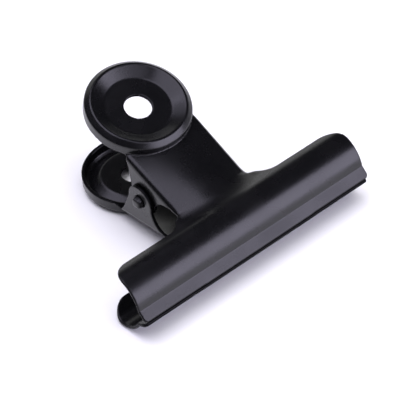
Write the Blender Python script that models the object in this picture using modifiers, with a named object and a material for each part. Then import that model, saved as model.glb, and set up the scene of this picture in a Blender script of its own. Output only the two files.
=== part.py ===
"""Bulldog clip: two pressed steel jaws with round thumb pads, on a pin with a torsion spring.

Everything is modelled in the clip's own frame and then seated on the floor. In the clip's frame
X runs along the mouth, Y from the mouth towards the thumb pads and Z up from the closing plane.
All sizes below are in millimetres.
"""
import math

import bmesh
import bpy
from mathutils import Matrix, Vector

MM = 0.001

# Sheet steel and clearances
SHEET = 0.9
GAP = 0.3

# Jaw bar: a lip, a crease and an arch over the mouth
JAW_WIDTH = 76.2
LIP_Z = 0.905
LIP_SLOPE = 36.0
ARCH_R = 8.8
ARCH_Y = 10.9
ARCH_Z = -0.2
ARCH_END_SLOPE = 12.0
CREST_R = 5.5
BACK_SLOPE = -30.0
BACK_Y = 14.5
BAR_BACK_CORNER_R = 5.5
BAR_FRONT_CORNER_R = 1.0

# Handle: a channel that rises from the back of the bar to the thumb pad
HANDLE_SLOPE = 9.0
HANDLE_TOP = 4.5
UPPER_HALF_WIDTH = 11.9
LOWER_HALF_WIDTH = UPPER_HALF_WIDTH + GAP + SHEET
BEND_R = 2.0
HANDLE_START = 14.6
HANDLE_END = 46.0
FLANGE_DEPTH = 16.5
FLANGE_EDGE_Z = 4.7
EAR_FILLET_R = 5.5
EAR_BACK_ANGLE = 370.0
EAR_BACK = ((38.1, 7.2), (39.4, 9.8))
WEB_EDGE = 3.4

# Thumb pad: a turned dish with a hanging hole
PAD_Y = 48.2
PAD_Z = 13.44
LOWER_PAD_BACK = 0.4
HOLE_R = 3.7
FLAT_R = 9.05
DISH_R = 12.15
DISH_DEPTH = 2.0
CREST_R_PAD = 12.5
RIM_ROUND = 0.12
SHOULDER_R = 12.93
SHOULDER_DROP = 0.19
WALL_TOP_R = 14.02
WALL_R = 14.2
WALL_TOP_DROP = 1.62
WALL_BOTTOM = -2.25
PAD_STEPS = 48

# Hinge pin and torsion spring
PIN_Y = 31.9
PIN_R = 1.5
PIN_END_R = 1.75
PIN_PROUD = 1.5
PIN_END_FLAT_R = 1.25
PIN_END_ROUND = 0.45
PIN_STEP = 0.05
EAR_R = 4.5
SPRING_WIRE_R = 0.65
SPRING_COIL_R = 3.1
SPRING_TURNS = 8
SPRING_PITCH = 1.6
SPRING_STEPS = 16
LEG_RISE = 35.0
LEG_LENGTH = 10.0

BLACK_PAINT = (0.012, 0.012, 0.014)
PIN_BLACK = (0.02, 0.02, 0.022)
SPRING_STEEL = (0.33, 0.33, 0.34)

SIDE = 100.0


def clear_scene():
    for obj in list(bpy.data.objects):
        bpy.data.objects.remove(obj, do_unlink=True)


def new_collection(name):
    collection = bpy.data.collections.new(name)
    bpy.context.scene.collection.children.link(collection)
    return collection


def new_material(name, color, roughness, metallic):
    material = bpy.data.materials.new(name)
    material.use_nodes = True
    shader = material.node_tree.nodes["Principled BSDF"]
    shader.inputs["Base Color"].default_value = (*color, 1.0)
    shader.inputs["Roughness"].default_value = roughness
    shader.inputs["Metallic"].default_value = metallic
    return material


def mesh_object(name, bm, collection, frame):
    """Turn a bmesh in millimetres of the clip's frame into an object on the hinge axis."""
    bmesh.ops.scale(bm, vec=Vector((MM, MM, MM)), verts=bm.verts)
    mesh = bpy.data.meshes.new(name)
    bm.to_mesh(mesh)
    bm.free()
    obj = bpy.data.objects.new(name, mesh)
    collection.objects.link(obj)
    obj.parent = frame
    return obj


def make_cutter(obj):
    obj.hide_render = True
    obj.display_type = "WIRE"


def arc(cy, cz, radius, start, end, steps):
    """Points on an arc, with its angles in degrees from +Y towards +Z."""
    points = []
    for i in range(steps + 1):
        angle = math.radians(start + (end - start) * i / steps)
        points.append((cy + radius * math.cos(angle), cz + radius * math.sin(angle)))
    return points


def about_pin(point):
    """Move a (y, z) point of the clip's frame so that the hinge axis is its origin."""
    return point[0] - PIN_Y, point[1]


def crest_centre():
    """Centre of the arc that carries the arch over its top."""
    angle = math.radians(90.0 + ARCH_END_SLOPE)
    spare = ARCH_R - CREST_R
    return ARCH_Y + spare * math.cos(angle), ARCH_Z + spare * math.sin(angle)


def bar_outline():
    """Outer line of the bar from the lip's front edge, over the arch, to its back edge."""
    slope = math.tan(math.radians(LIP_SLOPE))
    # The crease lies where the sloping lip meets the arch.
    dy = LIP_Z - ARCH_Z
    b = 2.0 * (slope * dy - ARCH_Y)
    c = ARCH_Y ** 2 + dy ** 2 - ARCH_R ** 2
    a = 1.0 + slope ** 2
    crease_y = (-b - math.sqrt(b * b - 4.0 * a * c)) / (2.0 * a)
    crease_z = LIP_Z + slope * crease_y
    start = math.degrees(math.atan2(crease_z - ARCH_Z, crease_y - ARCH_Y))
    top = arc(ARCH_Y, ARCH_Z, ARCH_R, start, 90.0 + ARCH_END_SLOPE, 10)
    crest = arc(*crest_centre(), CREST_R, 90.0 + ARCH_END_SLOPE, 90.0 + BACK_SLOPE, 6)
    y1, z1 = crest[-1]
    back = (BACK_Y, z1 + math.tan(math.radians(BACK_SLOPE)) * (BACK_Y - y1))
    return [(0.0, LIP_Z)] + top + crest[1:] + [back]


def rest_tilt():
    """Angle that lays the lower jaw's crest and the far rim of its pad on the floor."""
    slope = math.radians(HANDLE_SLOPE)
    rim = CREST_R_PAD + LOWER_PAD_BACK
    rim_y = PAD_Y + rim * math.cos(slope) - DISH_DEPTH * math.sin(slope)
    rim_z = PAD_Z + rim * math.sin(slope) + DISH_DEPTH * math.cos(slope)
    crest_y, crest_z = crest_centre()
    across = rim_y - crest_y
    down = rim_z - crest_z
    return math.atan2(down, across) - math.asin(CREST_R / math.hypot(across, down))


def sheet_strip(bm, outline, start, end):
    """Sweep an outline of vectors from one offset to another as an open strip of faces."""
    near = [bm.verts.new(point + start) for point in outline]
    far = [bm.verts.new(point + end) for point in outline]
    return near, far


def add_solidify(obj):
    thick = obj.modifiers.new("sheet", "SOLIDIFY")
    thick.thickness = SHEET * MM
    thick.offset = -1.0
    thick.use_even_offset = True


def add_boolean(obj, operation, other):
    cut = obj.modifiers.new(other.name, "BOOLEAN")
    cut.operation = operation
    cut.solver = "EXACT"
    cut.object = other


def bar_sheet(name, collection, frame):
    bm = bmesh.new()
    outline = [Vector((0.0, *about_pin(point))) for point in bar_outline()]
    half = Vector((JAW_WIDTH / 2.0, 0.0, 0.0))
    left, right = sheet_strip(bm, outline, -half, half)
    for i in range(len(outline) - 1):
        bm.faces.new((left[i], right[i], right[i + 1], left[i + 1]))
    obj = mesh_object(name, bm, collection, frame)
    add_solidify(obj)
    return obj


def prism(name, points, axis, low, high, collection, frame):
    """A closed prism: a flat outline of (a, b) points swept along X or along Z."""
    bm = bmesh.new()
    if axis == "X":
        ring = [bm.verts.new((low, a, b)) for a, b in points]
        sweep = Vector((high - low, 0.0, 0.0))
    else:
        ring = [bm.verts.new((a, b, low)) for a, b in points]
        sweep = Vector((0.0, 0.0, high - low))
    base = bm.faces.new(ring)
    grown = bmesh.ops.extrude_face_region(bm, geom=[base])
    moved = [item for item in grown["geom"] if isinstance(item, bmesh.types.BMVert)]
    bmesh.ops.translate(bm, vec=sweep, verts=moved)
    bmesh.ops.recalc_face_normals(bm, faces=bm.faces)
    obj = mesh_object(name, bm, collection, frame)
    make_cutter(obj)
    return obj


def bar_plan(name, collection, frame):
    """Plan outline of the bar, with large round back corners and small front ones."""
    half = JAW_WIDTH / 2.0
    back = BACK_Y - PIN_Y
    front = -PIN_Y - 1.0
    nose = -PIN_Y + BAR_FRONT_CORNER_R
    r = BAR_BACK_CORNER_R
    f = BAR_FRONT_CORNER_R
    points = arc(half - r, back + 1.0 - r, r, 0.0, 90.0, 6)
    points += arc(-half + r, back + 1.0 - r, r, 90.0, 180.0, 6)
    points += arc(-half + f, nose, f, 180.0, 270.0, 3)
    points += [(-half + f, front), (half - f, front)]
    points += arc(half - f, nose, f, 270.0, 360.0, 3)
    return prism(name, points, "Z", -SIDE, SIDE, collection, frame)


def channel_sheet(name, half_width, collection, frame):
    """The handle: a flat web with a flange folded down along each side."""
    slope = math.radians(HANDLE_SLOPE)
    along = Vector((0.0, math.cos(slope), math.sin(slope)))
    normal = Vector((0.0, -math.sin(slope), math.cos(slope)))
    base = Vector((0.0, -PIN_Y, 0.0))
    inner = half_width - BEND_R
    centre = HANDLE_TOP - BEND_R
    section = [(-half_width, HANDLE_TOP - FLANGE_DEPTH)]
    section += arc(-inner, centre, BEND_R, 180.0, 90.0, 4)
    section += arc(inner, centre, BEND_R, 90.0, 0.0, 4)
    section += [(half_width, HANDLE_TOP - FLANGE_DEPTH)]
    outline = [Vector((x, 0.0, 0.0)) + normal * n + base for x, n in section]
    bm = bmesh.new()
    near, far = sheet_strip(bm, outline, along * HANDLE_START, along * HANDLE_END)
    for i in range(len(outline) - 1):
        bm.faces.new((near[i], near[i + 1], far[i + 1], far[i]))
    obj = mesh_object(name, bm, collection, frame)
    make_cutter(obj)
    add_solidify(obj)
    return obj


def side_outline():
    """Side view of the handle: narrow flange, round ear about the pin, sloping back edge."""
    reach = EAR_R + EAR_FILLET_R
    fillet_z = FLANGE_EDGE_Z - EAR_FILLET_R
    fillet_y = -math.sqrt(reach ** 2 - fillet_z ** 2)
    touch = math.degrees(math.atan2(-fillet_z, -fillet_y))
    top = SIDE / 2.0
    points = [(BACK_Y - SHEET - PIN_Y, top), (BACK_Y - SHEET - PIN_Y, FLANGE_EDGE_Z)]
    points += arc(fillet_y, fillet_z, EAR_FILLET_R, 90.0, touch, 6)
    points += arc(0.0, 0.0, EAR_R, 180.0 + touch, EAR_BACK_ANGLE, 14)[1:]
    points += [about_pin(point) for point in EAR_BACK]
    # Behind the ear only the web and half of its bend run on to the pad.
    slope = math.radians(HANDLE_SLOPE)
    end_z = (WEB_EDGE + HANDLE_END * math.sin(slope)) / math.cos(slope)
    points += [about_pin((HANDLE_END, end_z)), about_pin((HANDLE_END, top))]
    return points


def pad_axis(back):
    """Placement of a piece turned about a thumb pad's axis, set back along its handle."""
    tilt = Matrix.Rotation(math.radians(HANDLE_SLOPE), 4, "X")
    along = tilt @ Vector((0.0, back, 0.0))
    return Matrix.Translation((Vector((0.0, PAD_Y - PIN_Y, PAD_Z)) + along) * MM) @ tilt


def turned(name, profile, steps, collection, frame, placement, closed):
    """A solid of revolution from a profile of (radius, height) points, top to bottom."""
    bm = bmesh.new()
    verts = [bm.verts.new((radius, 0.0, height)) for radius, height in profile]
    for first, second in zip(verts, verts[1:]):
        bm.edges.new((first, second))
    if closed:
        bm.edges.new((verts[-1], verts[0]))
    obj = mesh_object(name, bm, collection, frame)
    obj.matrix_basis = placement
    screw = obj.modifiers.new("turn", "SCREW")
    screw.steps = steps
    screw.render_steps = steps
    screw.use_merge_vertices = True
    screw.merge_threshold = 0.00001
    return obj


def pad_profile():
    """Section of the dish, round its outer side from top to bottom and back to the hole."""
    wall_inner = WALL_R - SHEET
    shoulder_inner = WALL_R - SHOULDER_R - SHEET
    return [
        (HOLE_R, 0.0),
        (FLAT_R, 0.0),
        (DISH_R, DISH_DEPTH - RIM_ROUND),
        (CREST_R_PAD, DISH_DEPTH),
        (SHOULDER_R, DISH_DEPTH - SHOULDER_DROP),
        (WALL_TOP_R, DISH_DEPTH - SHOULDER_DROP - (WALL_TOP_R - SHOULDER_R)),
        (WALL_R, DISH_DEPTH - WALL_TOP_DROP),
        (WALL_R, WALL_BOTTOM),
        (wall_inner, WALL_BOTTOM),
        (wall_inner, DISH_DEPTH - WALL_TOP_DROP - shoulder_inner),
        (SHOULDER_R - SHEET / 2.0, DISH_DEPTH - SHEET - RIM_ROUND),
        (FLAT_R + RIM_ROUND, -SHEET),
        (HOLE_R, -SHEET),
    ]


def make_jaw(name, half_width, back, nodes, cutters, frame, turn):
    """One pressed jaw: bar, handle channel and thumb pad in a single sheet."""
    jaw = bar_sheet(name, nodes, frame)
    plan = bar_plan(name + "_plan", cutters, frame)
    channel = channel_sheet(name + "_channel", half_width, cutters, frame)
    side = prism(name + "_side", side_outline(), "X", -SIDE, SIDE, cutters, frame)
    core_r = WALL_R - SHEET / 2.0
    core_profile = [(0.0, SIDE), (core_r, SIDE), (core_r, -SIDE), (0.0, -SIDE)]
    core = turned(name + "_core", core_profile, PAD_STEPS, cutters, frame, pad_axis(back), False)
    make_cutter(core)
    pad = turned(name + "_pad", pad_profile(), PAD_STEPS, cutters, frame, pad_axis(back), True)
    make_cutter(pad)
    bore = pin_bore(name + "_bore", cutters, frame)
    add_boolean(channel, "INTERSECT", side)
    add_boolean(channel, "DIFFERENCE", core)
    add_boolean(jaw, "INTERSECT", plan)
    add_boolean(jaw, "UNION", channel)
    add_boolean(jaw, "UNION", pad)
    add_boolean(jaw, "DIFFERENCE", bore)
    for obj in (jaw, plan, channel, side, core, pad, bore):
        obj.matrix_basis = turn @ obj.matrix_basis
    return jaw


def x_axis_turn():
    """Turn a piece made about Z so that it lies along X."""
    return Matrix.Rotation(math.radians(90.0), 4, "Y")


def pin_bore(name, collection, frame):
    radius = PIN_R + GAP
    profile = [(0.0, SIDE), (radius, SIDE), (radius, -SIDE), (0.0, -SIDE)]
    bore = turned(name, profile, 24, collection, frame, x_axis_turn(), False)
    make_cutter(bore)
    return bore


def make_pin(name, collection, frame):
    """Round pin, upset a little at both ends outside the lower jaw's ears."""
    ear = LOWER_HALF_WIDTH + GAP
    tip = LOWER_HALF_WIDTH + PIN_PROUD
    half = [(0.0, tip), (PIN_END_FLAT_R, tip), (PIN_END_R, tip - PIN_END_ROUND)]
    half += [(PIN_END_R, ear), (PIN_R, ear - PIN_STEP)]
    profile = half + [(radius, -height) for radius, height in reversed(half)]
    return turned(name, profile, 24, collection, frame, x_axis_turn(), False)


def spring_points():
    """Coil about the pin, from the upper leg over the coil to the lower leg."""
    half = (SPRING_TURNS + 0.5) * SPRING_PITCH / 2.0
    start = 90.0 + LEG_RISE
    sweep = 360.0 * SPRING_TURNS + 180.0 - 2.0 * LEG_RISE
    count = SPRING_TURNS * SPRING_STEPS
    points = []
    for i in range(count + 1):
        share = i / count
        angle = math.radians(start + sweep * share)
        x = -half + 2.0 * half * share
        points.append(Vector((x, SPRING_COIL_R * math.cos(angle), SPRING_COIL_R * math.sin(angle))))
    rise = math.radians(LEG_RISE)
    upper_leg = Vector((0.0, math.cos(rise), math.sin(rise))) * LEG_LENGTH
    lower_leg = Vector((0.0, math.cos(rise), -math.sin(rise))) * LEG_LENGTH
    return [points[0] + upper_leg] + points + [points[-1] + lower_leg]


def make_spring(name, collection, frame):
    """Torsion spring of round wire, its legs running out under the two handles."""
    path = spring_points()
    curve = bpy.data.curves.new(name, "CURVE")
    curve.dimensions = "3D"
    curve.bevel_depth = SPRING_WIRE_R * MM
    curve.bevel_resolution = 2
    curve.use_fill_caps = True
    spline = curve.splines.new("POLY")
    spline.points.add(len(path) - 1)
    for point, place in zip(spline.points, path):
        point.co = (*(place * MM), 1.0)
    obj = bpy.data.objects.new(name, curve)
    collection.objects.link(obj)
    obj.parent = frame
    return obj


def seat_on_floor(frame, nodes):
    """Move the whole clip so that it stands on Z = 0, centred over the origin."""
    bpy.context.view_layer.update()
    graph = bpy.context.evaluated_depsgraph_get()
    corners = []
    for obj in nodes:
        mesh = obj.evaluated_get(graph).to_mesh()
        corners += [obj.matrix_world @ vertex.co for vertex in mesh.vertices]
    low = Vector([min(corner[i] for corner in corners) for i in range(3)])
    high = Vector([max(corner[i] for corner in corners) for i in range(3)])
    middle = (low + high) / 2.0
    frame.location -= Vector((middle.x, middle.y, low.z))
    bpy.context.view_layer.update()


def main():
    clear_scene()
    nodes = new_collection("bulldog_clip")
    cutters = new_collection("bulldog_clip_cutters")
    frame = bpy.data.objects.new("hinge_axis", None)
    frame.rotation_euler = (rest_tilt(), 0.0, 0.0)
    nodes.objects.link(frame)
    paint = new_material("black_paint", BLACK_PAINT, 0.38, 0.0)
    pin_black = new_material("pin_black", PIN_BLACK, 0.35, 0.6)
    steel = new_material("spring_steel", SPRING_STEEL, 0.3, 1.0)
    upper = make_jaw("upper_jaw", UPPER_HALF_WIDTH, 0.0, nodes, cutters, frame, Matrix.Identity(4))
    over = Matrix.Rotation(math.radians(180.0), 4, "Y")
    lower = make_jaw("lower_jaw", LOWER_HALF_WIDTH, LOWER_PAD_BACK, nodes, cutters, frame, over)
    pin = make_pin("hinge_pin", nodes, frame)
    spring = make_spring("torsion_spring", nodes, frame)
    for jaw in (upper, lower):
        jaw.data.materials.append(paint)
    pin.data.materials.append(pin_black)
    spring.data.materials.append(steel)
    seat_on_floor(frame, (upper, lower, pin, spring))


main()
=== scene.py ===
import math

import bmesh
import bpy
import numpy as np
from mathutils import Matrix, Vector


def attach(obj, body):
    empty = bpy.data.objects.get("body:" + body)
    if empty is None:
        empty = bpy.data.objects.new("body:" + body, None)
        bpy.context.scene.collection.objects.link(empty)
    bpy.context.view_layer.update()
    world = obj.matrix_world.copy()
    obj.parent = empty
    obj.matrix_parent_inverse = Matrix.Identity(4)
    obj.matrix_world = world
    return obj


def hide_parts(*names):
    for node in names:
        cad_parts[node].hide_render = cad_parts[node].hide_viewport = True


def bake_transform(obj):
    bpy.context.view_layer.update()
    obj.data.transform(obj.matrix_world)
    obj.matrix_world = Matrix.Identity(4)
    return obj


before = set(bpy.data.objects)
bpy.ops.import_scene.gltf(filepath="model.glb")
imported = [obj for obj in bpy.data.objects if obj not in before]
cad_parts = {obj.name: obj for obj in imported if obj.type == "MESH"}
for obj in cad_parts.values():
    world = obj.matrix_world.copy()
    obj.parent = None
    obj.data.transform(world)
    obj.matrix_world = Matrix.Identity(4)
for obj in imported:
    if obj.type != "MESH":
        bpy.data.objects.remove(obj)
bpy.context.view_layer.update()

MM = 0.001

# Pressed sheet, millimetres in the clip's frame: x along the jaw, y back from the lip, z up from
# the closing plane. The lower jaw is the same pressing turned half a turn about y.
SHEET = 0.9
GAP = 0.3
HALF_JAW = 38.1
LIP_Z = 0.905
LIP_SLOPE = 36.0
ARCH_R = 8.8
ARCH_Y = 10.9
ARCH_Z = -0.2
ARCH_END = 102.0
CREST_R = 5.5
BACK_ANGLE = 60.0
BACK_Y = 14.5
BACK_CORNER_R = 5.5
FRONT_CORNER_R = 1.0
SQUARE_LIP_END = 1.5
SQUARE_LIP_FADE = 3.0
HANDLE_SLOPE = math.radians(9.0)
HANDLE_TOP = 4.5
UPPER_HALF = 11.9
LOWER_HALF = UPPER_HALF + GAP + SHEET
BEND_R = 1.4
NECK_FILLET_R = 7.0
CREASE_R = 2.0
CROWN_AT_PAD = 0.6
CROWN_AT_BAR = 3.0
CROWN_BALANCE = 0.15
CROWN_FROM = 40.0
CROWN_TO = 20.0
NECK_PLAN_START = 6.0
NECK_START = 12.5
HANDLE_END = 46.0
FLANGE_START = 13.0
FLANGE_EDGE_Z = 4.7
FLANGE_BESIDE = 0.6
FILLET_EDGE_RISE = 1.0
BLANK_SPARE = 0.5
BLANK_SPARE_START = 0.3
BLANK_SPARE_FADE = 4.0
EAR_FILLET_R = 5.5
EAR_R = 4.5
EAR_BACK_ANGLE = 370.0
EAR_BACK_EDGE = [(38.1, 7.2), (39.4, 9.8)]
PIN_Y = 31.9
PIN_R = 1.5
PIN_PROUD = 1.5
PIN_SQUARENESS = 0.17
BORE_R = 1.8
BORE_EDGE_R = 0.1
WEB_EDGE = 3.4
PAD_Y = 48.2
PAD_Z = 13.44
LOWER_PAD_BACK = 0.4
PAD_R = 14.2
PAD_REACH = 14.8
PAD_CREASE_R = 0.08
PAD_INNER_CREASE_R = 0.6
DISH_FLOOR_R = 8.7
DISH_BEND = (8.75, 0.8, 0.8)
RIM = (12.47, 1.32, 0.65)
SHOULDER = (13.6, 0.36, 0.6)
HOLE_R = 3.7
WALL_BOTTOM = -2.25
EDGE_R = 0.2
WEAR_WIDTH = 0.3

SPRING_WIRE_R = 0.65
SPRING_COIL_R = 3.1
SPRING_TURNS = 8
SPRING_PITCH = 1.6
LEG_RISE = 35.0
LEG_LENGTH = 10.0

# How the resting clip leans on the floor, and where its pin then lies, as in the CAD frame.
TILT = math.radians(9.92558)
PIN_WORLD = Vector((0.0, -0.69918, 12.62442))

PITCH = 0.3

# Outlines are carried this far past the sheet, where nothing reads them.
FAR = 20.0
DEEP = 30.0


def arc(cy, cz, radius, start, end, steps):
    """Points of an arc, its start and end angles in degrees."""
    turn = np.radians(np.linspace(start, end, steps + 1))
    return [(cy + radius * math.cos(t), cz + radius * math.sin(t)) for t in turn]


def outline_distance(points, outline):
    """Signed distance from (N, 2) points to a closed outline, negative inside."""
    start = np.array(outline, float)
    end = np.roll(start, -1, axis=0)
    best = np.full(len(points), 1e9)
    inside = np.zeros(len(points), bool)
    for (ay, az), (by, bz) in zip(start, end):
        dy, dz = by - ay, bz - az
        length = dy * dy + dz * dz
        if length < 1e-12:
            continue
        py = points[:, 0] - ay
        pz = points[:, 1] - az
        t = np.clip((py * dy + pz * dz) / length, 0.0, 1.0)
        best = np.minimum(best, (py - t * dy) ** 2 + (pz - t * dz) ** 2)
        if az != bz:
            straddles = (points[:, 1] < az) != (points[:, 1] < bz)
            cross = ay + (points[:, 1] - az) * dy / dz
            inside ^= straddles & (points[:, 0] < cross)
    return np.where(inside, -1.0, 1.0) * np.sqrt(best)


class Section:
    """Signed distance to an outline, kept as a fine table and read with bilinear weights."""

    def __init__(self, outline, low, high, step):
        self.low = np.array(low, float)
        self.step = step
        self.count = np.ceil((np.array(high) - self.low) / step).astype(int) + 1
        u = self.low[0] + step * np.arange(self.count[0])
        v = self.low[1] + step * np.arange(self.count[1])
        grid = np.stack(np.meshgrid(u, v, indexing="ij"), axis=-1).reshape(-1, 2)
        self.table = outline_distance(grid, outline).reshape(self.count).astype(np.float32)

    def __call__(self, u, v):
        gu = np.clip((u - self.low[0]) / self.step, 0.0, self.count[0] - 1.001)
        gv = np.clip((v - self.low[1]) / self.step, 0.0, self.count[1] - 1.001)
        iu = gu.astype(np.int32)
        iv = gv.astype(np.int32)
        fu = (gu - iu).astype(np.float32)
        fv = (gv - iv).astype(np.float32)
        t = self.table
        low = t[iu, iv] * (1 - fu) + t[iu + 1, iv] * fu
        high = t[iu, iv + 1] * (1 - fu) + t[iu + 1, iv + 1] * fu
        return low * (1 - fv) + high * fv


def join_round(a, b, radius):
    """Union of two solids with a fillet of this radius where they meet."""
    fillet = np.hypot(np.maximum(radius - a, 0), np.maximum(radius - b, 0))
    return np.maximum(radius, np.minimum(a, b)) - fillet


def meet_round(a, b, radius):
    """Intersection of two solids with its edge rounded to this radius."""
    return -join_round(-a, -b, radius)


def bar_section():
    """Region under the bar's outer surface, carried on past both of its edges."""
    slope = math.tan(math.radians(LIP_SLOPE))
    dy = LIP_Z - ARCH_Z
    b = 2.0 * (slope * dy - ARCH_Y)
    c = ARCH_Y ** 2 + dy ** 2 - ARCH_R ** 2
    a = 1.0 + slope ** 2
    crease_y = (-b - math.sqrt(b * b - 4.0 * a * c)) / (2.0 * a)
    crease_z = LIP_Z + slope * crease_y
    start = math.degrees(math.atan2(crease_z - ARCH_Z, crease_y - ARCH_Y))
    front, reach = -6.0, 17.5
    points = [(front, LIP_Z + front * slope)]
    points += arc(ARCH_Y, ARCH_Z, ARCH_R, start, ARCH_END, 60)
    spare = ARCH_R - CREST_R
    end = math.radians(ARCH_END)
    crest = (ARCH_Y + spare * math.cos(end), ARCH_Z + spare * math.sin(end))
    points += arc(*crest, CREST_R, ARCH_END, BACK_ANGLE, 30)[1:]
    y1, z1 = points[-1]
    points.append((reach, z1 - math.tan(math.radians(90.0 - BACK_ANGLE)) * (reach - y1)))
    points += [(reach, -DEEP), (front, -DEEP)]
    return Section(points, (-4.0, -7.0), (22.0, 14.0), 0.06)


def side_section():
    """Side view of what the sheet keeps: narrow flange, round ear, sloping edge, web bend."""
    reach = EAR_R + EAR_FILLET_R
    fillet_z = FLANGE_EDGE_Z - EAR_FILLET_R
    fillet_y = PIN_Y - math.sqrt(reach ** 2 - fillet_z ** 2)
    touch = math.degrees(math.atan2(-fillet_z, PIN_Y - fillet_y))
    top = 40.0
    points = [(-FAR, top), (-FAR, -DEEP), (FLANGE_START, -DEEP), (FLANGE_START, FLANGE_EDGE_Z)]
    points += arc(fillet_y, fillet_z, EAR_FILLET_R, 90.0, touch, 20)
    points += arc(PIN_Y, 0.0, EAR_R, 180.0 + touch, EAR_BACK_ANGLE, 60)[1:]
    points += EAR_BACK_EDGE
    end_z = (WEB_EDGE + HANDLE_END * math.sin(HANDLE_SLOPE)) / math.cos(HANDLE_SLOPE)
    points += [(HANDLE_END, end_z), (HANDLE_END, top)]
    return Section(points, (8.0, -8.0), (52.0, 22.0), 0.08)


def pad_section():
    """Region under the dished pad's outer surface: flat floor, cone, rim, plain wall."""
    points = [(-FAR, 0.0), (DISH_FLOOR_R, 0.0)]
    points += arc(*DISH_BEND, -88.0, -58.0, 6)
    points += arc(*RIM, 118.0, 45.0, 12)
    points += arc(*SHOULDER, 45.0, 0.0, 8)
    points += [(PAD_R, WALL_BOTTOM), (PAD_R, -FAR), (-FAR, -FAR)]
    return Section(points, (0.0, -5.0), (20.0, 6.0), 0.05)


BAR = bar_section()
SIDE = side_section()
PAD = pad_section()


def bar_plan(x, y, z):
    """Plan of the bar: a long rectangle with small front and large back corners."""
    # The lip is cut square to its own slope, which the plan follows near the front edge.
    slope = math.radians(LIP_SLOPE)
    square = np.clip(1.0 - (y - SQUARE_LIP_END) / SQUARE_LIP_FADE, 0.0, 1.0)
    y = y + (z - LIP_Z - y * math.tan(slope)) * math.sin(slope) * math.cos(slope) * square
    radius = np.where(y > BACK_Y / 2.0, BACK_CORNER_R, FRONT_CORNER_R)
    qx = np.abs(x) - HALF_JAW + radius
    qy = np.abs(y - BACK_Y / 2.0) - BACK_Y / 2.0 + radius
    corner = np.hypot(np.maximum(qx, 0), np.maximum(qy, 0))
    return np.minimum(np.maximum(qx, qy), 0) + corner - radius


def neck_crown(x, y, half):
    """How far the neck's web drops below its flat: a crown that grows towards the bar."""
    share = np.clip((CROWN_FROM - y) / (CROWN_FROM - CROWN_TO), 0.0, 1.0)
    height = CROWN_AT_PAD + (CROWN_AT_BAR - CROWN_AT_PAD) * share
    return height * (np.minimum(np.abs(x) / half, 1.0) ** 2 - CROWN_BALANCE)


def flange_cut(y, z, wide):
    """Side view of what is kept, with the flange's edge rising through the neck's fillets."""
    share = np.clip((wide - FLANGE_BESIDE) / (NECK_FILLET_R - FLANGE_BESIDE), 0.0, 1.0)
    edge_z = FLANGE_EDGE_Z + FILLET_EDGE_RISE * share * share * (3.0 - 2.0 * share)
    side = SIDE(y, z)
    beside = (wide > FLANGE_BESIDE) & (y > NECK_START)
    return np.where(beside, np.maximum(side, edge_z - z), side)


def jaw_parts(x, y, z, half):
    """The jaw's fields: outer surface, inner surface, the blank's own outline, pad radius."""
    c, s = math.cos(HANDLE_SLOPE), math.sin(HANDLE_SLOPE)
    along = y * c + z * s
    over = z * c - y * s
    centre = PAD_Y * c + PAD_Z * s + (LOWER_PAD_BACK if half > UPPER_HALF else 0.0)
    floor_z = PAD_Z * c - PAD_Y * s
    radius = np.hypot(x, along - centre)
    wide = np.abs(x) - half
    bar = BAR(y, z)
    plan = join_round(np.maximum(wide, NECK_PLAN_START - y), bar_plan(x, y, z), NECK_FILLET_R)
    back = join_round(wide, y - BACK_Y, NECK_FILLET_R)
    neck = meet_round(back, over - HANDLE_TOP + neck_crown(x, y, half), BEND_R)
    neck = np.maximum(neck, np.maximum(along - centre, NECK_START - y))
    pad = PAD(radius, over - floor_z)
    outer = join_round(join_round(bar, neck, CREASE_R), pad, PAD_CREASE_R)
    core = join_round(bar + SHEET, neck + SHEET, CREASE_R + SHEET)
    inner = join_round(core, pad + SHEET, PAD_INNER_CREASE_R)
    spare = np.clip((y - BACK_Y - BLANK_SPARE_START) / BLANK_SPARE_FADE, 0.0, BLANK_SPARE)
    keep = np.maximum(plan - spare, flange_cut(y, z, wide))
    keep_pad = np.maximum(radius - PAD_REACH, floor_z + WALL_BOTTOM - over)
    return outer, inner, np.minimum(keep, keep_pad), radius


def jaw_field(x, y, z, half):
    """Signed distance to one whole pressing, its edges rounded."""
    outer, inner, keep, radius = jaw_parts(x, y, z, half)
    sheet = meet_round(meet_round(outer, keep, EDGE_R), -inner, EDGE_R)
    sheet = meet_round(sheet, HOLE_R - radius, EDGE_R)
    bore = BORE_R - np.hypot(y - PIN_Y, z)
    return meet_round(sheet, bore, BORE_EDGE_R)


CORNERS = [(a, b, c) for a in (0, 1) for b in (0, 1) for c in (0, 1)]
SLAB = 24


def sample_grid(field, low, count, pitch):
    """The field's values on a grid, worked out slab by slab to save memory."""
    axes = [low[i] + pitch * np.arange(count[i]) for i in range(3)]
    value = np.empty(count, np.float32)
    for i in range(0, count[0], SLAB):
        grid = np.meshgrid(axes[0][i:i + SLAB], axes[1], axes[2], indexing="ij", sparse=True)
        x, y, z = np.broadcast_arrays(*[a.astype(np.float32) for a in grid])
        value[i:i + SLAB] = field(x, y, z)
    return value


def crossed_cells(inside):
    """Cells that the surface crosses, and a grid with each such cell's number."""
    cells = np.array(inside.shape) - 1
    total = np.zeros(cells, np.uint8)
    for a, b, c in CORNERS:
        total += inside[a:a + cells[0], b:b + cells[1], c:c + cells[2]]
    cell = np.argwhere((total > 0) & (total < len(CORNERS)))
    number = np.full(cells, -1, np.int32)
    number[tuple(cell.T)] = np.arange(len(cell))
    return cell, number


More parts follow.
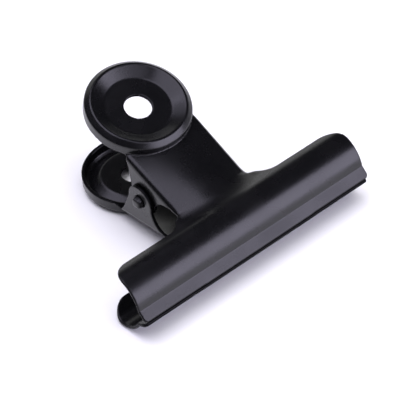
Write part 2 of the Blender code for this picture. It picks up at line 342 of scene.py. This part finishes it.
def cell_points(value, cell):
    """For each cell, the mean of the points where the surface cuts the cell's edges."""
    corner_value = {k: value[tuple((cell + k).T)].astype(float) for k in CORNERS}
    place = np.zeros((len(cell), 3))
    hits = np.zeros(len(cell))
    for k in CORNERS:
        for axis in range(3):
            if k[axis]:
                continue
            other = tuple(1 if i == axis else k[i] for i in range(3))
            va, vb = corner_value[k], corner_value[other]
            crosses = (va < 0) != (vb < 0)
            t = np.where(crosses, va / np.where(crosses, va - vb, 1.0), 0.0)
            point = np.array(k, float)[None, :].repeat(len(cell), 0)
            point[:, axis] += t
            place += np.where(crosses[:, None], point, 0.0)
            hits += crosses
    return place / hits[:, None]


def quads_across(inside, number, axis):
    """One outward quad round each grid edge along this axis that the surface crosses."""
    u, v = (axis + 1) % 3, (axis + 2) % 3
    near = [slice(1, -1)] * 3
    far = [slice(1, -1)] * 3
    near[axis] = slice(0, -1)
    far[axis] = slice(1, None)
    first, second = inside[tuple(near)], inside[tuple(far)]
    edge = np.argwhere(first != second)
    outward = first[tuple(edge.T)]
    base = edge + 1
    base[:, axis] -= 1
    around = []
    for du, dv in ((-1, -1), (0, -1), (0, 0), (-1, 0)):
        at = base.copy()
        at[:, u] += du
        at[:, v] += dv
        around.append(number[tuple(at.T)])
    quad = np.stack(around, axis=1)
    quad[~outward] = quad[~outward][:, ::-1]
    return quad


def surface_net(field, low, high, pitch):
    """Quads on the zero surface of a field, one vertex in each cell that it crosses."""
    low = np.array(low, float)
    count = np.ceil((np.array(high) - low) / pitch).astype(int) + 1
    value = sample_grid(field, low, count, pitch)
    inside = value < 0
    cell, number = crossed_cells(inside)
    verts = low + pitch * (cell + cell_points(value, cell))
    faces = [quads_across(inside, number, axis) for axis in range(3)]
    return verts, np.concatenate(faces)


def gradient(field, p):
    """Slope of the field at each point, by central differences."""
    h = 0.02
    out = np.empty_like(p)
    for i in range(3):
        d = np.zeros(3)
        d[i] = h
        a = p + d
        b = p - d
        out[:, i] = (field(a[:, 0], a[:, 1], a[:, 2]) - field(b[:, 0], b[:, 1], b[:, 2])) / (2 * h)
    return out


def settle(field, verts, pitch):
    """Move each vertex onto the surface along the field's slope."""
    for _ in range(3):
        value = field(verts[:, 0], verts[:, 1], verts[:, 2])
        slope = gradient(field, verts)
        size = np.maximum((slope ** 2).sum(1), 0.2)
        move = -(value / size)[:, None] * slope
        length = np.linalg.norm(move, axis=1)
        limit = 0.6 * pitch
        move *= (np.minimum(length, limit) / np.maximum(length, 1e-9))[:, None]
        verts = verts + move
    return verts


def to_world(points):
    """Clip frame in millimetres to the row's frame in metres."""
    c, s = math.cos(TILT), math.sin(TILT)
    y = points[:, 1] - PIN_Y
    z = points[:, 2]
    out = np.empty_like(points)
    out[:, 0] = points[:, 0]
    out[:, 1] = y * c - z * s
    out[:, 2] = y * s + z * c
    return (out + np.array(PIN_WORLD)) * MM


def mesh_piece(name, verts, faces, material):
    """A smooth mesh object from arrays; every face has the same number of corners."""
    mesh = bpy.data.meshes.new(name)
    mesh.vertices.add(len(verts))
    mesh.vertices.foreach_set("co", verts.astype(np.float32).ravel())
    size = faces.shape[1]
    mesh.loops.add(faces.size)
    mesh.loops.foreach_set("vertex_index", faces.astype(np.int32).ravel())
    mesh.polygons.add(len(faces))
    mesh.polygons.foreach_set("loop_start", np.arange(0, faces.size, size, dtype=np.int32))
    mesh.polygons.foreach_set("use_smooth", np.ones(len(faces), bool))
    mesh.update(calc_edges=True)
    mesh.validate()
    mesh.materials.append(material)
    obj = bpy.data.objects.new(name, mesh)
    bpy.context.scene.collection.objects.link(obj)
    return obj


def make_jaw(name, half, turned, material):
    """One pressing, with an attribute that marks the strip along its cut edges."""
    def field(x, y, z):
        return jaw_field(x, y, z, half)

    low = (-HALF_JAW - 0.7, -0.7, -5.3)
    high = (HALF_JAW + 0.7, 63.5, 18.2)
    verts, faces = surface_net(field, low, high, PITCH)
    verts = settle(field, verts, PITCH)
    keep, radius = jaw_parts(verts[:, 0], verts[:, 1], verts[:, 2], half)[2:]
    edge = np.minimum(np.abs(keep), np.abs(radius - HOLE_R))
    if turned:
        verts = verts * np.array((-1.0, 1.0, -1.0))
    obj = mesh_piece(name, to_world(verts), faces, material)
    wear = obj.data.attributes.new("edge_wear", "FLOAT", "POINT")
    wear.data.foreach_set("value", np.clip(1.0 - edge / WEAR_WIDTH, 0.0, 1.0).astype(np.float32))
    return obj


def new_node(tree, kind, **inputs):
    node = tree.nodes.new(kind)
    for key, value in inputs.items():
        node.inputs[key.replace("_", " ")].default_value = value
    return node


def map_range(tree, source, low, high, from_low=0.0, from_high=1.0):
    node = tree.nodes.new("ShaderNodeMapRange")
    node.inputs["From Min"].default_value = from_low
    node.inputs["From Max"].default_value = from_high
    node.inputs["To Min"].default_value = low
    node.inputs["To Max"].default_value = high
    tree.links.new(source, node.inputs["Value"])
    return node.outputs["Result"]


def mix_colours(tree, factor, first, second):
    node = tree.nodes.new("ShaderNodeMix")
    node.data_type = "RGBA"
    node.inputs["A"].default_value = (*first, 1.0)
    node.inputs["B"].default_value = (*second, 1.0)
    tree.links.new(factor, node.inputs["Factor"])
    return node.outputs["Result"]


def noise(tree, **inputs):
    """Noise that stays with the object."""
    coords = tree.nodes.new("ShaderNodeTexCoord")
    node = new_node(tree, "ShaderNodeTexNoise", **inputs)
    tree.links.new(coords.outputs["Object"], node.inputs["Vector"])
    return node.outputs["Fac"]


def bump(tree, height, strength, distance):
    node = new_node(tree, "ShaderNodeBump", Strength=strength, Distance=distance)
    tree.links.new(height, node.inputs["Height"])
    tree.links.new(node.outputs["Normal"], tree.nodes["Principled BSDF"].inputs["Normal"])


def new_material(name):
    material = bpy.data.materials.new(name)
    material.use_nodes = True
    tree = material.node_tree
    return material, tree, tree.nodes["Principled BSDF"].inputs


def paint(name, base, rough):
    """Satin black enamel: fine orange peel, dust specks, cut edges that shine less."""
    material, tree, shader = new_material(name)
    link = tree.links.new
    bump(tree, noise(tree, Scale=1400.0, Detail=2.0, Roughness=0.6), 0.35, 0.00003)
    cloud = noise(tree, Scale=90.0, Detail=4.0, Roughness=0.55)
    link(map_range(tree, cloud, rough - 0.05, rough + 0.05, 0.3, 0.7), shader["Roughness"])
    speck = noise(tree, Scale=3200.0, Detail=1.0, Roughness=0.5)
    grain = map_range(tree, speck, 0.0, 1.0, 0.35, 0.75)
    link(mix_colours(tree, grain, base, [1.7 * v for v in base]), shader["Base Color"])
    wear = tree.nodes.new("ShaderNodeAttribute")
    wear.attribute_name = "edge_wear"
    link(map_range(tree, wear.outputs["Fac"], 0.5, 0.06), shader["Specular IOR Level"])
    return material


def bare_steel(name):
    """Drawn spring wire, lightly oiled."""
    material, tree, shader = new_material(name)
    shader["Metallic"].default_value = 1.0
    grain = noise(tree, Scale=900.0, Detail=3.0, Roughness=0.6)
    colour = mix_colours(tree, grain, (0.16, 0.16, 0.17), (0.30, 0.30, 0.31))
    tree.links.new(colour, shader["Base Color"])
    tree.links.new(map_range(tree, grain, 0.25, 0.45), shader["Roughness"])
    bump(tree, grain, 0.2, 0.00002)
    return material


def tube_faces(rings, sides):
    """Quads between neighbouring rings of a tube."""
    faces = []
    for i in range(rings - 1):
        for k in range(sides):
            n = (k + 1) % sides
            faces.append((i * sides + k, i * sides + n, (i + 1) * sides + n, (i + 1) * sides + k))
    return faces


def pin_profile():
    """Radius and place along the pin, from one domed end to the other."""
    tip = LOWER_HALF + PIN_PROUD
    ear = LOWER_HALF + GAP
    dome = [(0.0, tip), (0.6, tip - 0.01), (1.1, tip - 0.05), (1.35, tip - 0.15), (1.5, tip - 0.35)]
    boss = [(1.62, tip - 0.7), (1.72, ear + 0.1), (1.7, ear - 0.6)]
    end = dome + boss + [(PIN_R, ear - 0.75), (PIN_R, ear - 1.2)]
    shank = [(PIN_R, x) for x in np.linspace(ear - 2.0, -ear + 2.0, 12)]
    return end + shank + [(r, -x) for r, x in reversed(end)]


def weld(obj):
    """Join points that lie on one another."""
    bm = bmesh.new()
    bm.from_mesh(obj.data)
    bmesh.ops.remove_doubles(bm, verts=bm.verts, dist=1e-7)
    bm.to_mesh(obj.data)
    bm.free()


def make_pin(material):
    """Pin with hammered ends: each end is upset to a slightly square, domed boss."""
    sides = 48
    profile = pin_profile()
    verts = []
    for r, x in profile:
        for k in range(sides):
            t = 2.0 * math.pi * k / sides
            square = 1.0
            if abs(x) > LOWER_HALF + GAP - 0.01:
                lean = 0.35 if x > 0 else 0.6
                square = 1.0 - PIN_SQUARENESS * (1.0 - math.cos(4.0 * (t - lean))) / 2.0
            verts.append((x, r * square * math.cos(t), r * square * math.sin(t)))
    verts = np.array(verts)
    verts[:, 1] += PIN_Y
    # The profile runs towards -x, so its quads are turned over to face outward.
    faces = np.array(tube_faces(len(profile), sides))[:, [0, 3, 2, 1]]
    pin = mesh_piece("staked_pin", to_world(verts), faces, material)
    # The ring at each end's centre has no width, so it becomes one point.
    weld(pin)
    return pin


def spring_path():
    """Centre line of the spring: one straight leg, the coil, the other leg."""
    half = (SPRING_TURNS + 0.5) * SPRING_PITCH / 2.0
    sweep = 360.0 * SPRING_TURNS + 180.0 - 2.0 * LEG_RISE
    count = SPRING_TURNS * 48
    coil = []
    for i in range(count + 1):
        share = i / count
        angle = math.radians(90.0 + LEG_RISE + sweep * share)
        x = -half + 2.0 * half * share
        coil.append((x, SPRING_COIL_R * math.cos(angle), SPRING_COIL_R * math.sin(angle)))
    coil = np.array(coil)
    up = math.radians(LEG_RISE)
    steps = np.linspace(1.0, 0.0, 12, endpoint=False)[:, None]
    first = coil[0] + steps * np.array((0.0, math.cos(up), math.sin(up))) * LEG_LENGTH
    last = coil[-1] + steps[::-1] * np.array((0.0, math.cos(up), -math.sin(up))) * LEG_LENGTH
    return np.concatenate((first, coil, last))


def make_spring(material):
    """Torsion spring: close coil about the pin, its legs lying under the two webs."""
    sides = 16
    path = spring_path()
    ahead = np.gradient(path, axis=0)
    ahead /= np.linalg.norm(ahead, axis=1)[:, None]
    side = np.array((1.0, 0.0, 0.0)) - ahead * ahead[:, :1]
    side /= np.linalg.norm(side, axis=1)[:, None]
    third = np.cross(ahead, side)
    around = np.linspace(0.0, 2.0 * math.pi, sides, endpoint=False)
    cos, sin = np.cos(around)[:, None], np.sin(around)[:, None]
    rings = [p + SPRING_WIRE_R * (cos * a + sin * b) for p, a, b in zip(path, side, third)]
    verts = np.concatenate(rings)
    faces = tube_faces(len(path), sides)
    # Each cut end is closed by quads that share its middle point.
    for ring, sign in ((0, -1), (len(path) - 1, 1)):
        middle = len(verts)
        verts = np.concatenate((verts, path[ring][None, :]))
        for k in range(0, sides, 2):
            loop = (ring * sides + k, ring * sides + k + 1, ring * sides + (k + 2) % sides, middle)
            faces.append(loop if sign > 0 else loop[::-1])
    verts[:, 1] += PIN_Y
    return mesh_piece("spring_coil", to_world(verts), np.array(faces), material)


def camera():
    """A long lens, high and to the left of the clip."""
    data = bpy.data.cameras.new("camera")
    data.lens = 216.36
    data.sensor_width = 36.0
    data.clip_start = 0.01
    data.clip_end = 20.0
    obj = bpy.data.objects.new("camera", data)
    azimuth = math.radians(-37.55)
    elevation = math.radians(41.62)
    roll = math.radians(5.70)
    level = math.cos(elevation)
    back = Vector((math.sin(azimuth) * level, -math.cos(azimuth) * level, math.sin(elevation)))
    right = Vector((math.cos(azimuth), math.sin(azimuth), 0.0))
    up = back.cross(right)
    tilted = math.cos(roll) * right - math.sin(roll) * up
    up = math.sin(roll) * right + math.cos(roll) * up
    turn = Matrix((tilted, up, back)).transposed()
    place = Matrix.Translation((-0.29336, -0.39379, 0.43676))
    obj.matrix_world = place @ turn.to_4x4()
    bpy.context.scene.collection.objects.link(obj)
    bpy.context.scene.camera = obj


WHITE = (1.0, 1.0, 1.0)
VIOLET = (1.0, 0.955, 1.2)
LIT_POINT = Vector((0.0, 0.0, 0.01))


def area_light(name, direction, distance, size, power, color=WHITE):
    """A soft box that far from the clip in that direction, turned towards it."""
    data = bpy.data.lights.new(name, "AREA")
    data.shape = "RECTANGLE"
    data.size = size[0]
    data.size_y = size[1]
    data.energy = power
    data.color = color
    obj = bpy.data.objects.new(name, data)
    toward = Vector(direction).normalized()
    obj.location = LIT_POINT + toward * distance
    obj.rotation_euler = toward.to_track_quat("Z", "Y").to_euler()
    bpy.context.scene.collection.objects.link(obj)
    return obj


def studio():
    """Faint world light, five soft boxes, and a fill that lights the floor but is not mirrored."""
    world = bpy.data.worlds.new("studio")
    world.use_nodes = True
    background = world.node_tree.nodes["Background"].inputs
    background["Color"].default_value = (0.9, 0.92, 1.0, 1.0)
    background["Strength"].default_value = 0.02
    bpy.context.scene.world = world
    bpy.context.scene.view_settings.view_transform = "Standard"
    area_light("front_right", (0.36, -0.86, 0.33), 0.9, (0.95, 0.62), 6.6, VIOLET)
    area_light("top_left", (-0.27, 0.10, 0.95), 1.1, (1.15, 1.0), 6.6, VIOLET)
    area_light("back_right", (0.47, 0.86, 0.22), 1.2, (1.8, 0.62), 2.3)
    area_light("front_high", (-0.14, -0.70, 0.70), 1.1, (0.6, 0.5), 0.9, VIOLET)
    area_light("back_high", (-0.12, 0.63, 0.77), 1.1, (0.5, 0.45), 0.7, VIOLET)
    fill = area_light("overhead_fill", (0.1, -0.1, 0.99), 1.6, (2.2, 2.2), 29.0)
    fill.visible_glossy = False


def floor():
    """Plain pale floor, just under the clip."""
    count = 8
    reach = 3.0
    drop = -0.0002
    grid = np.linspace(-reach, reach, count + 1)
    verts = np.array([(x, y, drop) for y in grid for x in grid])
    w = count + 1
    faces = np.array([(j * w + i, j * w + i + 1, (j + 1) * w + i + 1, (j + 1) * w + i)
                      for j in range(count) for i in range(count)])
    material, tree, shader = new_material("backdrop")
    shader["Roughness"].default_value = 0.8
    shader["Specular IOR Level"].default_value = 0.1
    grain = noise(tree, Scale=60.0, Detail=3.0)
    colour = mix_colours(tree, grain, (0.90, 0.90, 0.90), (0.93, 0.93, 0.93))
    tree.links.new(colour, shader["Base Color"])
    obj = mesh_piece("table", verts, faces, material)


camera()
studio()
floor()

black = paint("satin_black", (0.0022, 0.0022, 0.0026), 0.27)
pin_black = paint("pin_black", (0.003, 0.003, 0.0034), 0.3)
steel = bare_steel("spring_steel")

upper = make_jaw("upper_pressing", UPPER_HALF, False, black)
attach(upper, "upper_body")
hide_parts("upper_jaw")

lower = make_jaw("lower_pressing", LOWER_HALF, True, black)
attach(lower, "lower_body")
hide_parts("lower_jaw")

pin = make_pin(pin_black)
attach(pin, "lower_body")
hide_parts("hinge_pin")

spring = make_spring(steel)
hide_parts("torsion_spring")
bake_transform(spring)
